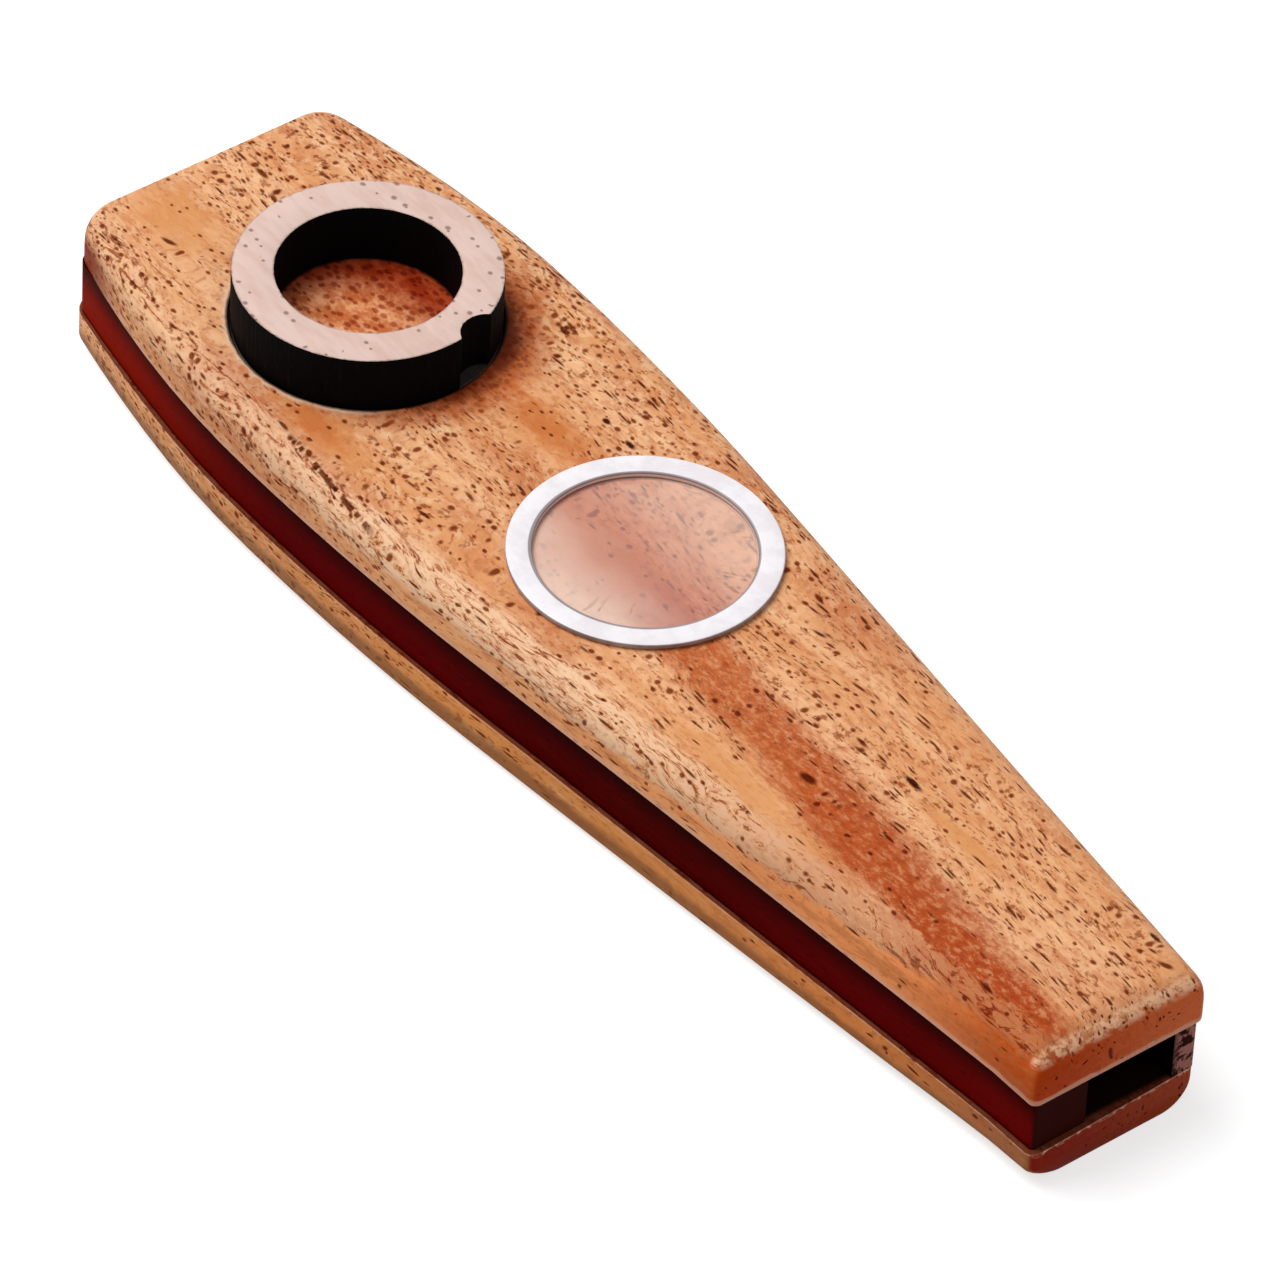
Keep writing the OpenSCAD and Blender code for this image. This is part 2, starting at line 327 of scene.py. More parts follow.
def makePlateWood(name, offset, look, top):
    material, tree, shader = newMaterial(name)
    raw = placeInMm(tree)
    place = placeInMm(tree, offset)
    bent = useGroup(tree, grainBend, {"Vector": place, "Reach": 7.0})["Vector"]
    x, y, z = split(tree, raw)
    nx, ny, nz = facing(tree)

    # Broad figure, mottling, then fibres
    figure = grainNoise(tree, bent, (0.030, 0.34, 0.34), 3.0, 0.55)
    cloud = grainNoise(tree, place, (0.055, 0.12, 0.12))
    mottle = grainNoise(tree, bent, (0.55, 1.5, 1.5), 3.0, 0.65)
    fibre = grainNoise(tree, bent, (0.16, 4.2, 4.2), 3.0, 0.6)
    base = blendColour(tree, soften(tree, figure, 0.36, 0.64), look["light"], look["middle"])
    base = paint(tree, base, soften(tree, cloud, 0.46, 0.72), look["dark"], 0.75)
    base = paint(tree, base, soften(tree, mottle, 0.46, 0.66), look["dark"], 0.6)
    base = paint(tree, base, soften(tree, fibre, 0.38, 0.66), look["dark"], 0.25)

    # Vessels and pale islands crowd together in places
    thick = grainNoise(tree, place, (0.06, 0.18, 0.18))
    crowd = scaled(tree, soften(tree, thick, 0.36, 0.58), 0.5, 0.5)
    narrowward = soften(tree, x, -40.0, 30.0)
    islands = grainNoise(tree, bent, (0.8, 1.35, 1.35), 3.0, 0.6)
    islands = times(tree, soften(tree, islands, 0.50, 0.62), scaled(tree, narrowward, -0.30, 0.55))
    base = paint(tree, base, times(tree, islands, crowd), look["island"])
    if top:
        base, crowd = addTopFigure(tree, base, crowd, raw, x, y, look)
        # The facet under the crowned margin reaches higher towards the narrow end
        facet = scaled(tree, soften(tree, x, 56.0, 24.0), look["facetDrop"], z)
        base, band = addCrownSheenBand(tree, base, raw, bent, x, y, facet, look)
        crowd = times(tree, crowd, scaled(tree, times(tree, band, narrowward), -0.7, 1.0))
        ragged = calc(tree, "ADD", facet, scaled(tree, mottle, 2.0, -1.0))
        side = soften(tree, ragged, look["facetFrom"] + 0.1, look["facetFull"])
    else:
        side = soften(tree, calc(tree, "ABSOLUTE", nz), 0.80, 0.30)

    # Oil went deeper into the sides, and deepest into the end grain
    sideColour = blendColour(tree, soften(tree, x, 0.0, 40.0), look["side"], look["sideMiddle"])
    sideColour = paint(tree, sideColour, soften(tree, x, 40.0, 60.0), look["sideNarrow"])
    drawn = grainNoise(tree, bent, (0.16, 1.0, 1.3), 4.0, 0.7)
    sideColour = paint(tree, sideColour, soften(tree, drawn, 0.48, 0.62), look["sideDark"], 0.55)
    paler = times(tree, soften(tree, drawn, 0.44, 0.32), soften(tree, x, 50.0, 20.0))
    sideColour = paint(tree, sideColour, paler, look["island"], 0.5)
    sided = times(tree, side, scaled(tree, soften(tree, x, -40.0, 5.0), 0.57, 0.28))
    base = paint(tree, base, sided, sideColour)
    end = times(tree, soften(tree, calc(tree, "ABSOLUTE", nx), 0.45, 0.85), side)
    across = calc(tree, "ADD", y, scaled(tree, mottle, 12.0, -6.0))
    endColour = blendColour(tree, soften(tree, across, -8.0, 8.0), look["end"], look["endFar"])
    base = paint(tree, base, end, endColour, 0.92)
    # The end's upper edge is torn and pale
    edge = soften(tree, levelled(tree, x, z), *look["tornHeight"])
    edge = times(tree, edge, soften(tree, x, *look["tornReach"]))
    torn = grainNoise(tree, raw, (0.4, 1.0, 1.6), 4.0, 0.7)
    edge = times(tree, edge, soften(tree, torn, *look["tornNoise"]))
    base = paint(tree, base, edge, look["endEdge"], 0.8)
    crowd = times(tree, crowd, scaled(tree, side, scaled(tree, narrowward, -0.6, 0.0), 1.0))

    # Long vessels mostly towards the narrow end, short ones mostly towards the wide end
    longShare = times(tree, crowd, scaled(tree, narrowward, 0.60, 0.30))
    shortShare = times(tree, crowd, scaled(tree, narrowward, -0.75, 1.2))
    deep = poreMask(tree, pores, bent, (2.9, 0.46), 0.40, longShare)
    short = poreMask(tree, pores, vectorCalc(tree, "ADD", bent, (31, 17, 5)), (0.98, 0.66), 0.46, shortShare)
    fine = soften(tree, grainNoise(tree, bent, (1.3, 2.8, 2.8), 2.0, 0.6), 0.54, 0.66)
    fine = times(tree, fine, crowd)
    base = darken(tree, base, fine, look["finePore"], 0.85)
    base = darken(tree, base, short, look["pore"])
    deepShown = times(tree, deep, scaled(tree, short, -0.8, 1.0))
    base = darken(tree, base, deepShown, look["deepPore"])
    # Pale worn edges, partly a painted highlight along the edges
    wornAndHighlit = useGroup(tree, edgeWearAndHighlight, {"Vector": place, "Radius": 0.35 * mm, "Amount": 0.7})["Mask"]
    base = paint(tree, base, wornAndHighlit, look["wearAndHighlight"])
    base = addGlueEdge(tree, base, raw, x, y, z, nz, calc(tree, "SUBTRACT", side, end), look, top)
    if top:
        base = addRingShadowAndSoot(tree, base, raw, look)
    # Painted shade, near black, inside the air channel
    inside = channelShade(tree, x, y, nz, top)
    base = paint(tree, base, inside, look["inside"], 0.97)
    tree.links.new(base, shader["Base Color"])

    marks = useGroup(tree, sandingMarks, {"Vector": bent})["Height"]
    rough = scaled(tree, marks, 0.20, 0.38)
    rough = calc(tree, "ADD", rough, times(tree, calc(tree, "MAXIMUM", deep, inside), 0.3), clamp=True)
    tree.links.new(rough, shader["Roughness"])
    shader["Specular IOR Level"].default_value = 0.03
    hollow = times(tree, deep, -1.0)
    pits = times(tree, short, -0.6)
    waves = times(tree, grainNoise(tree, place, (0.12, 0.3, 0.3)), 0.9)
    setBump(tree, shader, [hollow, pits, times(tree, marks, 0.35), waves], 0.06 * mm)
    return material


# The crowned margin is painted paler as a highlight of sheen on its rounding, most of all along the near side
def addCrownSheenBand(tree, base, raw, bent, x, y, z, look):
    inward = useGroup(tree, edgeDistance, {"Vector": raw})
    wander = grainNoise(tree, raw, (0.12, 0.6, 0.6))
    wander = scaled(tree, wander, 1.8, -0.9)
    along = soften(tree, calc(tree, "ADD", inward["Sides"], wander), 2.9, 1.7)
    across = soften(tree, calc(tree, "ADD", inward["Ends"], wander), 2.8, 1.2)
    along = times(tree, along, scaled(tree, soften(tree, y, 3.0, -3.0), 0.75, 0.25))
    band = calc(tree, "MAXIMUM", along, times(tree, across, 0.35))
    ragged = scaled(tree, wander, 0.35, z)
    band = times(tree, band, soften(tree, ragged, look["facetFull"], look["facetFrom"]))
    strands = grainNoise(tree, bent, (0.40, 1.5, 1.5), 4.0, 0.72, 1.4)
    # Painted highlight of sheen along the margin, in pale strands
    pale = blendColour(tree, soften(tree, x, 5.0, 58.0), look["crease"], look["sheenEnd"])
    shown = scaled(tree, soften(tree, x, -50.0, -10.0), 0.50, 0.45)
    shown = times(tree, shown, soften(tree, strands, 0.60, 0.44))
    base = paint(tree, base, times(tree, band, shown), pale)
    dark = times(tree, band, soften(tree, strands, 0.55, 0.62))
    base = darken(tree, base, dark, look["pore"], 0.8)
    # One long vessel lies open where the photo shows it
    (x0, y0), (x1, y1), half = longVessel["from"], longVessel["to"], longVessel["half"]
    slope = (y1 - y0) / (x1 - x0)
    off = calc(tree, "SUBTRACT", y, scaled(tree, x, slope, y0 - slope * x0))
    tremble = scaled(tree, noiseAt(tree, raw, 0.5, 3.0, 0.6), 0.5, -0.25)
    off = calc(tree, "ABSOLUTE", calc(tree, "ADD", off, tremble))
    dashes = soften(tree, grainNoise(tree, raw, (0.7, 0.1, 0.1), 2.0, 0.6), 0.40, 0.46)
    stroke = times(tree, soften(tree, off, 1.6 * half, 0.6 * half), dashes)
    ends = times(tree, soften(tree, x, x0 - 1.5, x0 + 1.0), soften(tree, x, x1 + 1.5, x1 - 1.0))
    base = darken(tree, base, times(tree, stroke, ends), look["deepPore"])
    return base, band


# Next to the glue the top plate gets a painted highlight along its lower edge, the bottom plate's sides get
# painted shade low down, and its ledge is darkened to a dark red-brown
def addGlueEdge(tree, base, raw, x, y, z, nz, side, look, top):
    z = levelled(tree, x, z)
    if top:
        # Painted highlight along the top plate's lower edge
        ragged = times(tree, noiseAt(tree, raw, 0.8, 2.0), 0.5)
        lowerEdgeHighlight = soften(tree, calc(tree, "SUBTRACT", z, ragged), look["glueTop"] + 0.42, look["glueTop"] + 0.10)
        base = paint(tree, base, lowerEdgeHighlight, look["lowerEdgeHighlight"], 0.65)
        corner = times(tree, soften(tree, x, *look["cornerReach"]), soften(tree, y, *look["cornerSide"]))
        height = soften(tree, calc(tree, "SUBTRACT", z, ragged), *look["cornerHeight"])
        corner = times(tree, corner, height)
        return paint(tree, base, corner, look["corner"])
    # Painted shade on the lower part of the bottom plate's sides
    ragged = scaled(tree, noiseAt(tree, raw, 0.5, 2.0), 0.8, -0.4)
    low = soften(tree, calc(tree, "ADD", z, ragged), look["glueBottom"] - 1.3, look["glueBottom"] - 2.2)
    base = paint(tree, base, times(tree, low, side), look["low"], 0.7)
    level = soften(tree, z, look["glueBottom"] - 0.3, look["glueBottom"])
    ledge = times(tree, soften(tree, nz, 0.80, 0.97), level)
    return paint(tree, base, ledge, look["ledge"], 0.9)


# The faces that look into the air channel get painted shade, near black. It widens towards the wide end, in
# mm.
channel = {"middle": 1.4, "half": 4.7, "wideHalf": 11.0, "widensFrom": 30.0, "widestAt": -48.0,
           "mouth": 59.3, "fade": 0.3}


def channelShade(tree, x, y, nz, top):
    inward = soften(tree, times(tree, nz, -1.0) if top else nz, 0.6, 0.9)
    off = calc(tree, "ABSOLUTE", calc(tree, "SUBTRACT", y, channel["middle"]))
    wider = soften(tree, x, channel["widensFrom"], channel["widestAt"])
    room = scaled(tree, wider, channel["wideHalf"] - channel["half"], channel["half"])
    mouth, fade = channel["mouth"], channel["fade"]
    before = soften(tree, calc(tree, "ABSOLUTE", x), mouth + fade, mouth - fade)
    return times(tree, inward, times(tree, calc(tree, "LESS_THAN", off, room), before))


# Distance from the middle of a round part, in mm and in plan, with a ragged edge
def roundReach(tree, raw, centre, ragged):
    reach = planReach(tree, vectorCalc(tree, "SUBTRACT", raw, (centre[0], centre[1], 0)))
    return calc(tree, "ADD", reach, scaled(tree, noiseAt(tree, raw, 0.9, 3.0, 0.6), 2 * ragged, -ragged))


# Char from the ring rubs off in the seat, darkened further by painted contact shade at the ring's foot, and
# the ring's painted shadow falls reddish on the wood on its narrow side.
# Each pair of distances from the middle, in mm, is where a mark starts and where it is full.
ringMarks = {"shadowAt": (3.0, 1.8), "shadow": (12.6, 9.6), "shadowNear": (10.2, 8.4),
             "chipShift": 0.25, "chip": (12.1, 11.5), "chipSide": (-4.0, -8.5),
             "seat": (11.45, 11.2), "seatWall": (10.6, 11.0)}


def addRingShadowAndSoot(tree, base, raw, look):
    centre = middleOf("clamp_ring") / mm
    # Painted shadow of the ring, reddish, with darker dots in it
    shadowX, shadowY = ringMarks["shadowAt"]
    reach = roundReach(tree, raw, (centre.x + shadowX, centre.y + shadowY), 1.2)
    shade = soften(tree, reach, *ringMarks["shadow"])
    base = paint(tree, base, shade, look["shade"], 0.72)
    base = paint(tree, base, soften(tree, reach, *ringMarks["shadowNear"]), look["shadeNear"], 0.8)
    dots = poreMask(tree, flatPores, raw, (0.95, 0.75), 0.5, 0.9)
    base = paint(tree, base, times(tree, dots, times(tree, shade, 0.45)), look["shadeDot"])
    # The seat's rim is chipped pale on the near side
    reach = roundReach(tree, raw, (centre.x, centre.y + ringMarks["chipShift"]), 0.7)
    sideFrom, sideFull = ringMarks["chipSide"]
    near = soften(tree, split(tree, raw)[1], centre.y + sideFrom, centre.y + sideFull)
    chipped = times(tree, soften(tree, reach, *ringMarks["chip"]), near)
    base = paint(tree, base, chipped, look["chip"], 0.7)
    # Soot and painted contact shade darken the seat at the ring's foot
    foot = roundReach(tree, raw, centre, 0.12)
    smudged = scaled(tree, soften(tree, noiseAt(tree, raw, 0.5, 4.0, 0.7), 0.38, 0.66), 0.55, 0.35)
    smudged = calc(tree, "MAXIMUM", smudged, soften(tree, foot, *ringMarks["seatWall"]))
    smudged = times(tree, soften(tree, foot, *ringMarks["seat"]), times(tree, smudged, 0.9))
    return paint(tree, base, smudged, look["sootAndShade"])


# The red-brown streak, the smooth patches and the single dark marks that the photo shows
streakPlace = {"from": (-20.0, 0.6), "to": (58.0, -6.9), "halfWidth": 1.7, "fade": 2.2, "widens": 0.9,
               "starts": (-12.0, 4.0), "ends": (65.0, 57.0)}
longVessel = {"from": (-28.0, -14.1), "to": (-16.5, -15.0), "half": 0.20}
smoothPatches = [  # centre, and half the length and width
    ((-55.0, -6.2), (6.0, 3.4)), ((-27.0, -11.2), (6.5, 2.2)), ((-17.5, 3.0), (4.5, 2.2)),
    ((-3.5, -2.5), (9.0, 4.0)), ((24.0, -8.5), (12.0, 1.6)), ((38.0, 1.6), (5.0, 0.9))]
emberPatches = [((-28.6, -11.4), (3.6, 1.8)), ((-18.2, 3.2), (6.0, 1.7)), ((3.9, -0.8), (2.6, 1.3))]
darkMarks = [
    ((30.8, 2.3), (1.2, 0.30)), ((-12.4, 7.5), (0.7, 0.32)),
    ((-15.7, 7.6), (0.5, 0.3)), ((54.6, 7.2), (0.8, 0.26))]


# Grows from 0 in the middle of an oval to 1 near its ragged edge
def patchReach(tree, raw, middle, size, grain, ragged):
    away = vectorCalc(tree, "SUBTRACT", raw, (middle[0], middle[1], 0))
    reach = lengthOf(tree, stretch(tree, away, (1 / size[0], 1 / size[1], 0)))
    return calc(tree, "ADD", reach, scaled(tree, noiseAt(tree, raw, grain, 3.0, 0.6), ragged, -ragged / 2))


def addTopFigure(tree, base, crowd, raw, x, y, look):
    (x0, y0), (x1, y1) = streakPlace["from"], streakPlace["to"]
    slope = (y1 - y0) / (x1 - x0)
    line = scaled(tree, x, slope, y0 - slope * x0)
    bend = grainNoise(tree, raw, (0.07, 0.25, 0.25), 3.0, 0.6)
    ragged = grainNoise(tree, raw, (0.9, 2.2, 2.2), 4.0, 0.75)
    wander = scaled(tree, bend, 4.0, -2.0)
    wander = calc(tree, "ADD", wander, scaled(tree, ragged, 4.4, -2.2))
    along = soften(tree, x, 0.0, 56.0)
    off = calc(tree, "ABSOLUTE", calc(tree, "ADD", calc(tree, "SUBTRACT", y, line), wander))
    off = calc(tree, "SUBTRACT", off, times(tree, along, streakPlace["widens"]))
    half = streakPlace["halfWidth"]
    band = soften(tree, off, half + streakPlace["fade"], half - 0.8)
    ends = times(tree, soften(tree, x, *streakPlace["starts"]), soften(tree, x, *streakPlace["ends"]))
    band = times(tree, band, ends)
    band = times(tree, band, scaled(tree, along, 0.12, 0.84))
    sponge = grainNoise(tree, raw, (0.85, 1.5, 1.5), 4.0, 0.75)
    streakColour = blendColour(tree, along, look["streak"], look["streakEnd"])
    streakColour = paint(tree, streakColour, soften(tree, sponge, 0.52, 0.64), look["blotch"], 0.55)
    band = times(tree, band, scaled(tree, soften(tree, sponge, 0.38, 0.52), 0.45, 0.55))
    base = paint(tree, base, band, streakColour)
    bare = times(tree, band, 0.75)
    for place, size in smoothPatches:
        patch = soften(tree, patchReach(tree, raw, place, size, 0.45, 1.4), 1.35, 0.3)
        base = paint(tree, base, patch, look["smooth"], 0.75)
        bare = calc(tree, "MAXIMUM", bare, patch)
    for place, size in emberPatches:
        patch = soften(tree, patchReach(tree, raw, place, size, 0.9, 2.2), 1.5, 0.2)
        base = paint(tree, base, patch, look["ember"], 0.75)
    for place, size in darkMarks:
        mark = soften(tree, patchReach(tree, raw, place, size, 2.0, 0.9), 1.2, 0.5)
        base = darken(tree, base, mark, look["mark"])
    return base, times(tree, crowd, scaled(tree, bare, -0.85, 1.0))


topWood = makePlateWood("topWood", (0, 0, 0), plateWood, True)
bottomLook = {
    **plateWood, "end": "#8E0E00", "endFar": "#A83A10",
    "side": "#EA9850", "sideMiddle": "#E68A42", "sideNarrow": "#A05A34",
    "tornHeight": (3.35, 3.7), "tornReach": (59.2, 59.5), "tornNoise": (0.50, 0.60),
}
bottomWood = makePlateWood("bottomWood", (210, 35, 60), bottomLook, False)
print("plate woods made")


# Dense dark hardwood of the side rails
railLook = {
    "wide": "#8C1400", "middle": "#5C0102", "narrow": "#6A0604", "dim": "#3C0000", "pale": "#740C02",
    "line": "#1C0000", "end": "#34100C", "endHighlight": "#C88A7C", "inside": "#0A0302",
    "shadeUnderTop": 3.2, "seamBottom": 0.45,  # reach of the painted shade under the top plate and of the dark glue at the bottom joint, in mm
}


def makeRailWood():
    material, tree, shader = newMaterial("railWood")
    place = placeInMm(tree, (40, 12, 7))
    bent = useGroup(tree, grainBend, {"Vector": place, "Reach": 2.0})["Vector"]
    x, y, z = split(tree, placeInMm(tree))
    nx, ny, nz = facing(tree)
    # Painted light and shade along the rail: lighter towards the wide end, dimmer in the middle
    base = blendColour(tree, soften(tree, x, -58.0, -25.0), railLook["wide"], railLook["middle"])
    base = paint(tree, base, soften(tree, x, 46.0, 58.0), railLook["narrow"])
    dim = times(tree, soften(tree, x, -14.0, 8.0), soften(tree, x, 42.0, 18.0))
    base = paint(tree, base, dim, railLook["dim"], 0.6)
    fibre = grainNoise(tree, bent, (0.12, 3.0, 3.0), 4.0, 0.6)
    base = paint(tree, base, soften(tree, fibre, 0.45, 0.75), railLook["pale"], 0.30)
    thin = poreMask(tree, pores, bent, (2.0, 0.26), 0.3, 0.7)
    base = paint(tree, base, thin, railLook["line"], 0.7)
    # Painted shade darkens the rail under the top plate, and glue darkens it along the bottom joint
    low, high = [corner.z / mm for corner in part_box("right_rail")]
    z = levelled(tree, x, z)
    shadeUnderTop = soften(tree, z, high - railLook["shadeUnderTop"], high)
    shadeAndGlueLine = calc(tree, "MAXIMUM", shadeUnderTop, soften(tree, z, low + railLook["seamBottom"], low))
    base = paint(tree, base, shadeAndGlueLine, railLook["line"], 0.9)
    end = soften(tree, calc(tree, "ABSOLUTE", nx), 0.5, 0.9)
    # The narrow end's far corner gets a painted highlight in pale patches
    chipped = soften(tree, noiseAt(tree, place, 1.1, 3.0, 0.6), 0.42, 0.54)
    chipped = times(tree, soften(tree, y, 5.2, 6.4), chipped)
    chipped = times(tree, chipped, soften(tree, x, -10.0, 10.0))
    endColour = blendColour(tree, times(tree, chipped, 0.7), railLook["end"], railLook["endHighlight"])
    base = paint(tree, base, end, endColour)
    # Painted shade, near black, on the inner faces that look into the channel
    inward = times(tree, times(tree, ny, calc(tree, "SIGN", y)), -1.0)
    base = paint(tree, base, soften(tree, inward, 0.3, 0.6), railLook["inside"])
    tree.links.new(base, shader["Base Color"])
    marks = useGroup(tree, sandingMarks, {"Vector": bent})["Height"]
    tree.links.new(scaled(tree, marks, 0.20, 0.42), shader["Roughness"])
    shader["Specular IOR Level"].default_value = 0.006
    setBump(tree, shader, [times(tree, marks, 0.6), times(tree, thin, -0.6)], 0.03 * mm)
    return material


railWood = makeRailWood()


# The ring is cut from pale wood by a laser, so its walls are vertical, charred and finely fluted
ringLook = {
    "pale": "#E2C6BB", "dim": "#D8B8AB", "dot": "#7C6258",
    "scorch": "#5A4034", "char": "#060405", "ash": "#120E0D",
    "columns": 420, "boreR": 7.5 * mm, "notchR": 2.2 * mm, "notchDepth": 1.2 * mm, "notchTurn": 17 * deg,
    "flute": 0.035 * mm, "ease": 0.07 * mm, "easeFrom": 60 * deg, "seed": 5,
}


def makeRingWood():
    material, tree, shader = newMaterial("ringWood")
    place = placeInMm(tree, (95, 70, 20))
    centre = middleOf("clamp_ring") / mm
    raw = placeInMm(tree, tuple(-centre))
    nz = facing(tree)[2]
    mottle = grainNoise(tree, place, (0.25, 0.9, 0.9), 3.0, 0.6)
    base = blendColour(tree, soften(tree, mottle, 0.35, 0.7), ringLook["pale"], ringLook["dim"])
    crowd = soften(tree, noiseAt(tree, place, 0.22), 0.40, 0.62)
    dots = poreMask(tree, flatPores, place, (1.35, 1.1), 0.27, times(tree, crowd, 0.6))
    base = paint(tree, base, dots, ringLook["dot"], 0.75)
    reach = planReach(tree, raw)
    low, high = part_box("clamp_ring")
    outer, inner = (high.x - low.x) / 2 / mm, ringLook["boreR"] / mm
    ragged = times(tree, noiseAt(tree, place, 2.2, 3.0, 0.6), 0.35)
    toOuter, toInner = calc(tree, "SUBTRACT", outer, reach), calc(tree, "SUBTRACT", reach, inner)
    nearEdge = calc(tree, "MINIMUM", toOuter, toInner)
    scorched = soften(tree, calc(tree, "SUBTRACT", nearEdge, ragged), 0.05, -0.2)
    base = paint(tree, base, scorched, ringLook["scorch"], 0.6)
    wall = soften(tree, calc(tree, "ABSOLUTE", nz), 0.92, 0.6)
    burnt = grainNoise(tree, place, (3.0, 3.0, 0.5), 4.0, 0.65)
    burntColour = blendColour(tree, soften(tree, burnt, 0.5, 0.8), ringLook["char"], ringLook["ash"])
    tree.links.new(blendColour(tree, wall, base, burntColour), shader["Base Color"])
    tree.links.new(scaled(tree, wall, 0.12, scaled(tree, mottle, 0.2, 0.45)), shader["Roughness"])
    shader["Specular IOR Level"].default_value = 0.03
    lines = times(tree, times(tree, burnt, wall), 1.5)
    setBump(tree, shader, [lines, times(tree, dots, -0.6)], 0.05 * mm)
    return material


ringWood = makeRingWood()


# A diaphragm is a rim of white moulded plastic with a skin glued over one side. In mm from the middle: its
# inner wall, the line that shows at the bore's edge, and the char and painted contact shade on the clamped
# one. The walls get painted shade.
rimLook = {
    "white": "#F4F0F3", "dim": "#E9E2E6", "speck": "#A8978C", "wall": "#54383A", "innerWall": "#E2BCAA",
    "line": "#5C4244", "innerFrom": 9.3, "innerFull": 9.1, "lineFrom": 9.14, "lineFull": 9.04,
    "lineGrows": 0.12, "sootShadeFrom": 10.45, "sootShadeFull": 10.75, "sootShadeFades": (12.0, 11.6),
    "steps": 192, "boreR": 8.9 * mm, "ease": 0.15 * mm,
}


def makeRimPlastic():
    material, tree, shader = newMaterial("rimPlastic")
    place = placeInMm(tree, (11, 57, 33))
    cloudy = noiseAt(tree, place, 0.5, 3.0, 0.6)
    base = blendColour(tree, soften(tree, cloudy, 0.35, 0.7), rimLook["white"], rimLook["dim"])
    specks = poreMask(tree, pores, place, (1.6, 1.6), 0.06, 0.5)
    base = paint(tree, base, specks, rimLook["speck"], 0.5)
    # Painted shade darkens the walls, and the clamped rim has char and painted contact shade at the ring's
    # foot
    nz = facing(tree)[2]
    wall = times(tree, soften(tree, calc(tree, "ABSOLUTE", nz), 0.90, 0.45), scaled(tree, cloudy, 0.4, 0.55))
    x, y, z = split(tree, placeInMm(tree))
    spare = middleOf("spare_rim") / mm
    away = planReach(tree, placeInMm(tree, (-spare.x, -spare.y, 0)))
    low = soften(tree, calc(tree, "SUBTRACT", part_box("spare_rim")[1].z / mm, z), 0.06, 0.20)
    low = times(tree, low, soften(tree, away, rimLook["innerFrom"], rimLook["innerFull"]))
    base = paint(tree, base, wall, blendColour(tree, low, rimLook["wall"], rimLook["innerWall"]))
    away = scaled(tree, soften(tree, y, spare.y + 2.0, spare.y - 6.0), -rimLook["lineGrows"], away)
    line = soften(tree, away, rimLook["lineFrom"], rimLook["lineFull"])
    base = paint(tree, base, times(tree, line, scaled(tree, low, -0.75, 0.75)), rimLook["line"])
    reach = roundReach(tree, placeInMm(tree), middleOf("clamp_ring") / mm, 0.1)
    sootShaded = soften(tree, reach, rimLook["sootShadeFrom"], rimLook["sootShadeFull"])
    sootShaded = times(tree, sootShaded, soften(tree, reach, *rimLook["sootShadeFades"]))
    base = paint(tree, base, sootShaded, plateWood["sootAndShade"])
    tree.links.new(base, shader["Base Color"])
    tree.links.new(scaled(tree, cloudy, 0.25, 0.28), shader["Roughness"])
    setBump(tree, shader, [times(tree, noiseAt(tree, place, 6.0), 0.5), cloudy], 0.02 * mm)
    return material


rimPlastic = makeRimPlastic()


# Thin skins: the spare one is half clear, and the clamped one is tan with dark flecks
spareLook = {"rosy": "#D99A90", "milky": "#FFE4D4", "crease": "#8C5546", "glue": "#8A6660",
             "glueFrom": 8.66, "glueFull": 8.84, "cover": 0.44, "milkyCover": 0.20, "glueCover": 0.85}


def makeSpareSkin():
    material, tree, shader = newMaterial("spareSkin")
    place = placeInMm(tree, (5, 9, 2))
    centre = middleOf("spare_film") / mm
    cloudy = grainNoise(tree, place, (0.10, 0.16, 0.16))
    x, y, z = split(tree, placeInMm(tree, tuple(-centre)))
    aside = calc(tree, "ADD", calc(tree, "ABSOLUTE", y), scaled(tree, cloudy, 8.0, -4.0))
    milky = soften(tree, aside, -1.0, 8.5)
    base = blendColour(tree, milky, spareLook["rosy"], spareLook["milky"])
    # Creases run out to the rim, most of all on the narrow side, and a dark line of glue follows it
    reach = roundReach(tree, placeInMm(tree), centre, 0.05)
    turn = times(tree, calc(tree, "ARCTAN2", y, x), 11.0)
    fan = addNode(tree, "CombineXYZ", {0: turn, 1: times(tree, reach, 0.35)}).outputs[0]
    crease = soften(tree, noiseAt(tree, fan, 1.0, 2.0, 0.6), 0.56, 0.66)
    crease = times(tree, crease, times(tree, soften(tree, reach, 4.5, 8.2), soften(tree, x, -2.0, 5.0)))
    base = paint(tree, base, crease, spareLook["crease"], 0.5)
    glue = soften(tree, reach, spareLook["glueFrom"], spareLook["glueFull"])
    base = paint(tree, base, glue, spareLook["glue"], 0.35)
    tree.links.new(base, shader["Base Color"])
    near = times(tree, milky, soften(tree, y, 3.0, -3.0))
    cover = scaled(tree, near, spareLook["milkyCover"], spareLook["cover"])
    cover = calc(tree, "MAXIMUM", cover, times(tree, glue, spareLook["glueCover"]))
    tree.links.new(cover, shader["Alpha"])
    tree.links.new(scaled(tree, cloudy, 0.2, 0.15), shader["Roughness"])
    shader["Specular IOR Level"].default_value = 0.3
    setBump(tree, shader, [noiseAt(tree, place, 0.9, 3.0, 0.5), times(tree, crease, -0.6)], 0.03 * mm)
    return material


# Places in mm: the ring's bore presses a band of char into the skin; at the ring's outer foot the skin has
# char and painted contact shade, the notch gets painted shade, and the far part inside the bore gets painted
# shade.
clampedLook = {"tan": "#F4AE7E", "brown": "#CC6E3C", "fleck": "#AC5E3A", "farShade": "#BC7058",
               "smudge": "#E8DCD4", "smudgeDark": "#8E7464", "smudgeFrom": 7.5, "smudgeFull": 8.2,
               "charBand": (7.2, 7.6, 7.8, 8.7), "sootShadeOuter": (10.3, 10.8),
               "notchAt": (11.4, 3.5), "notchShade": (2.9, 2.6)}


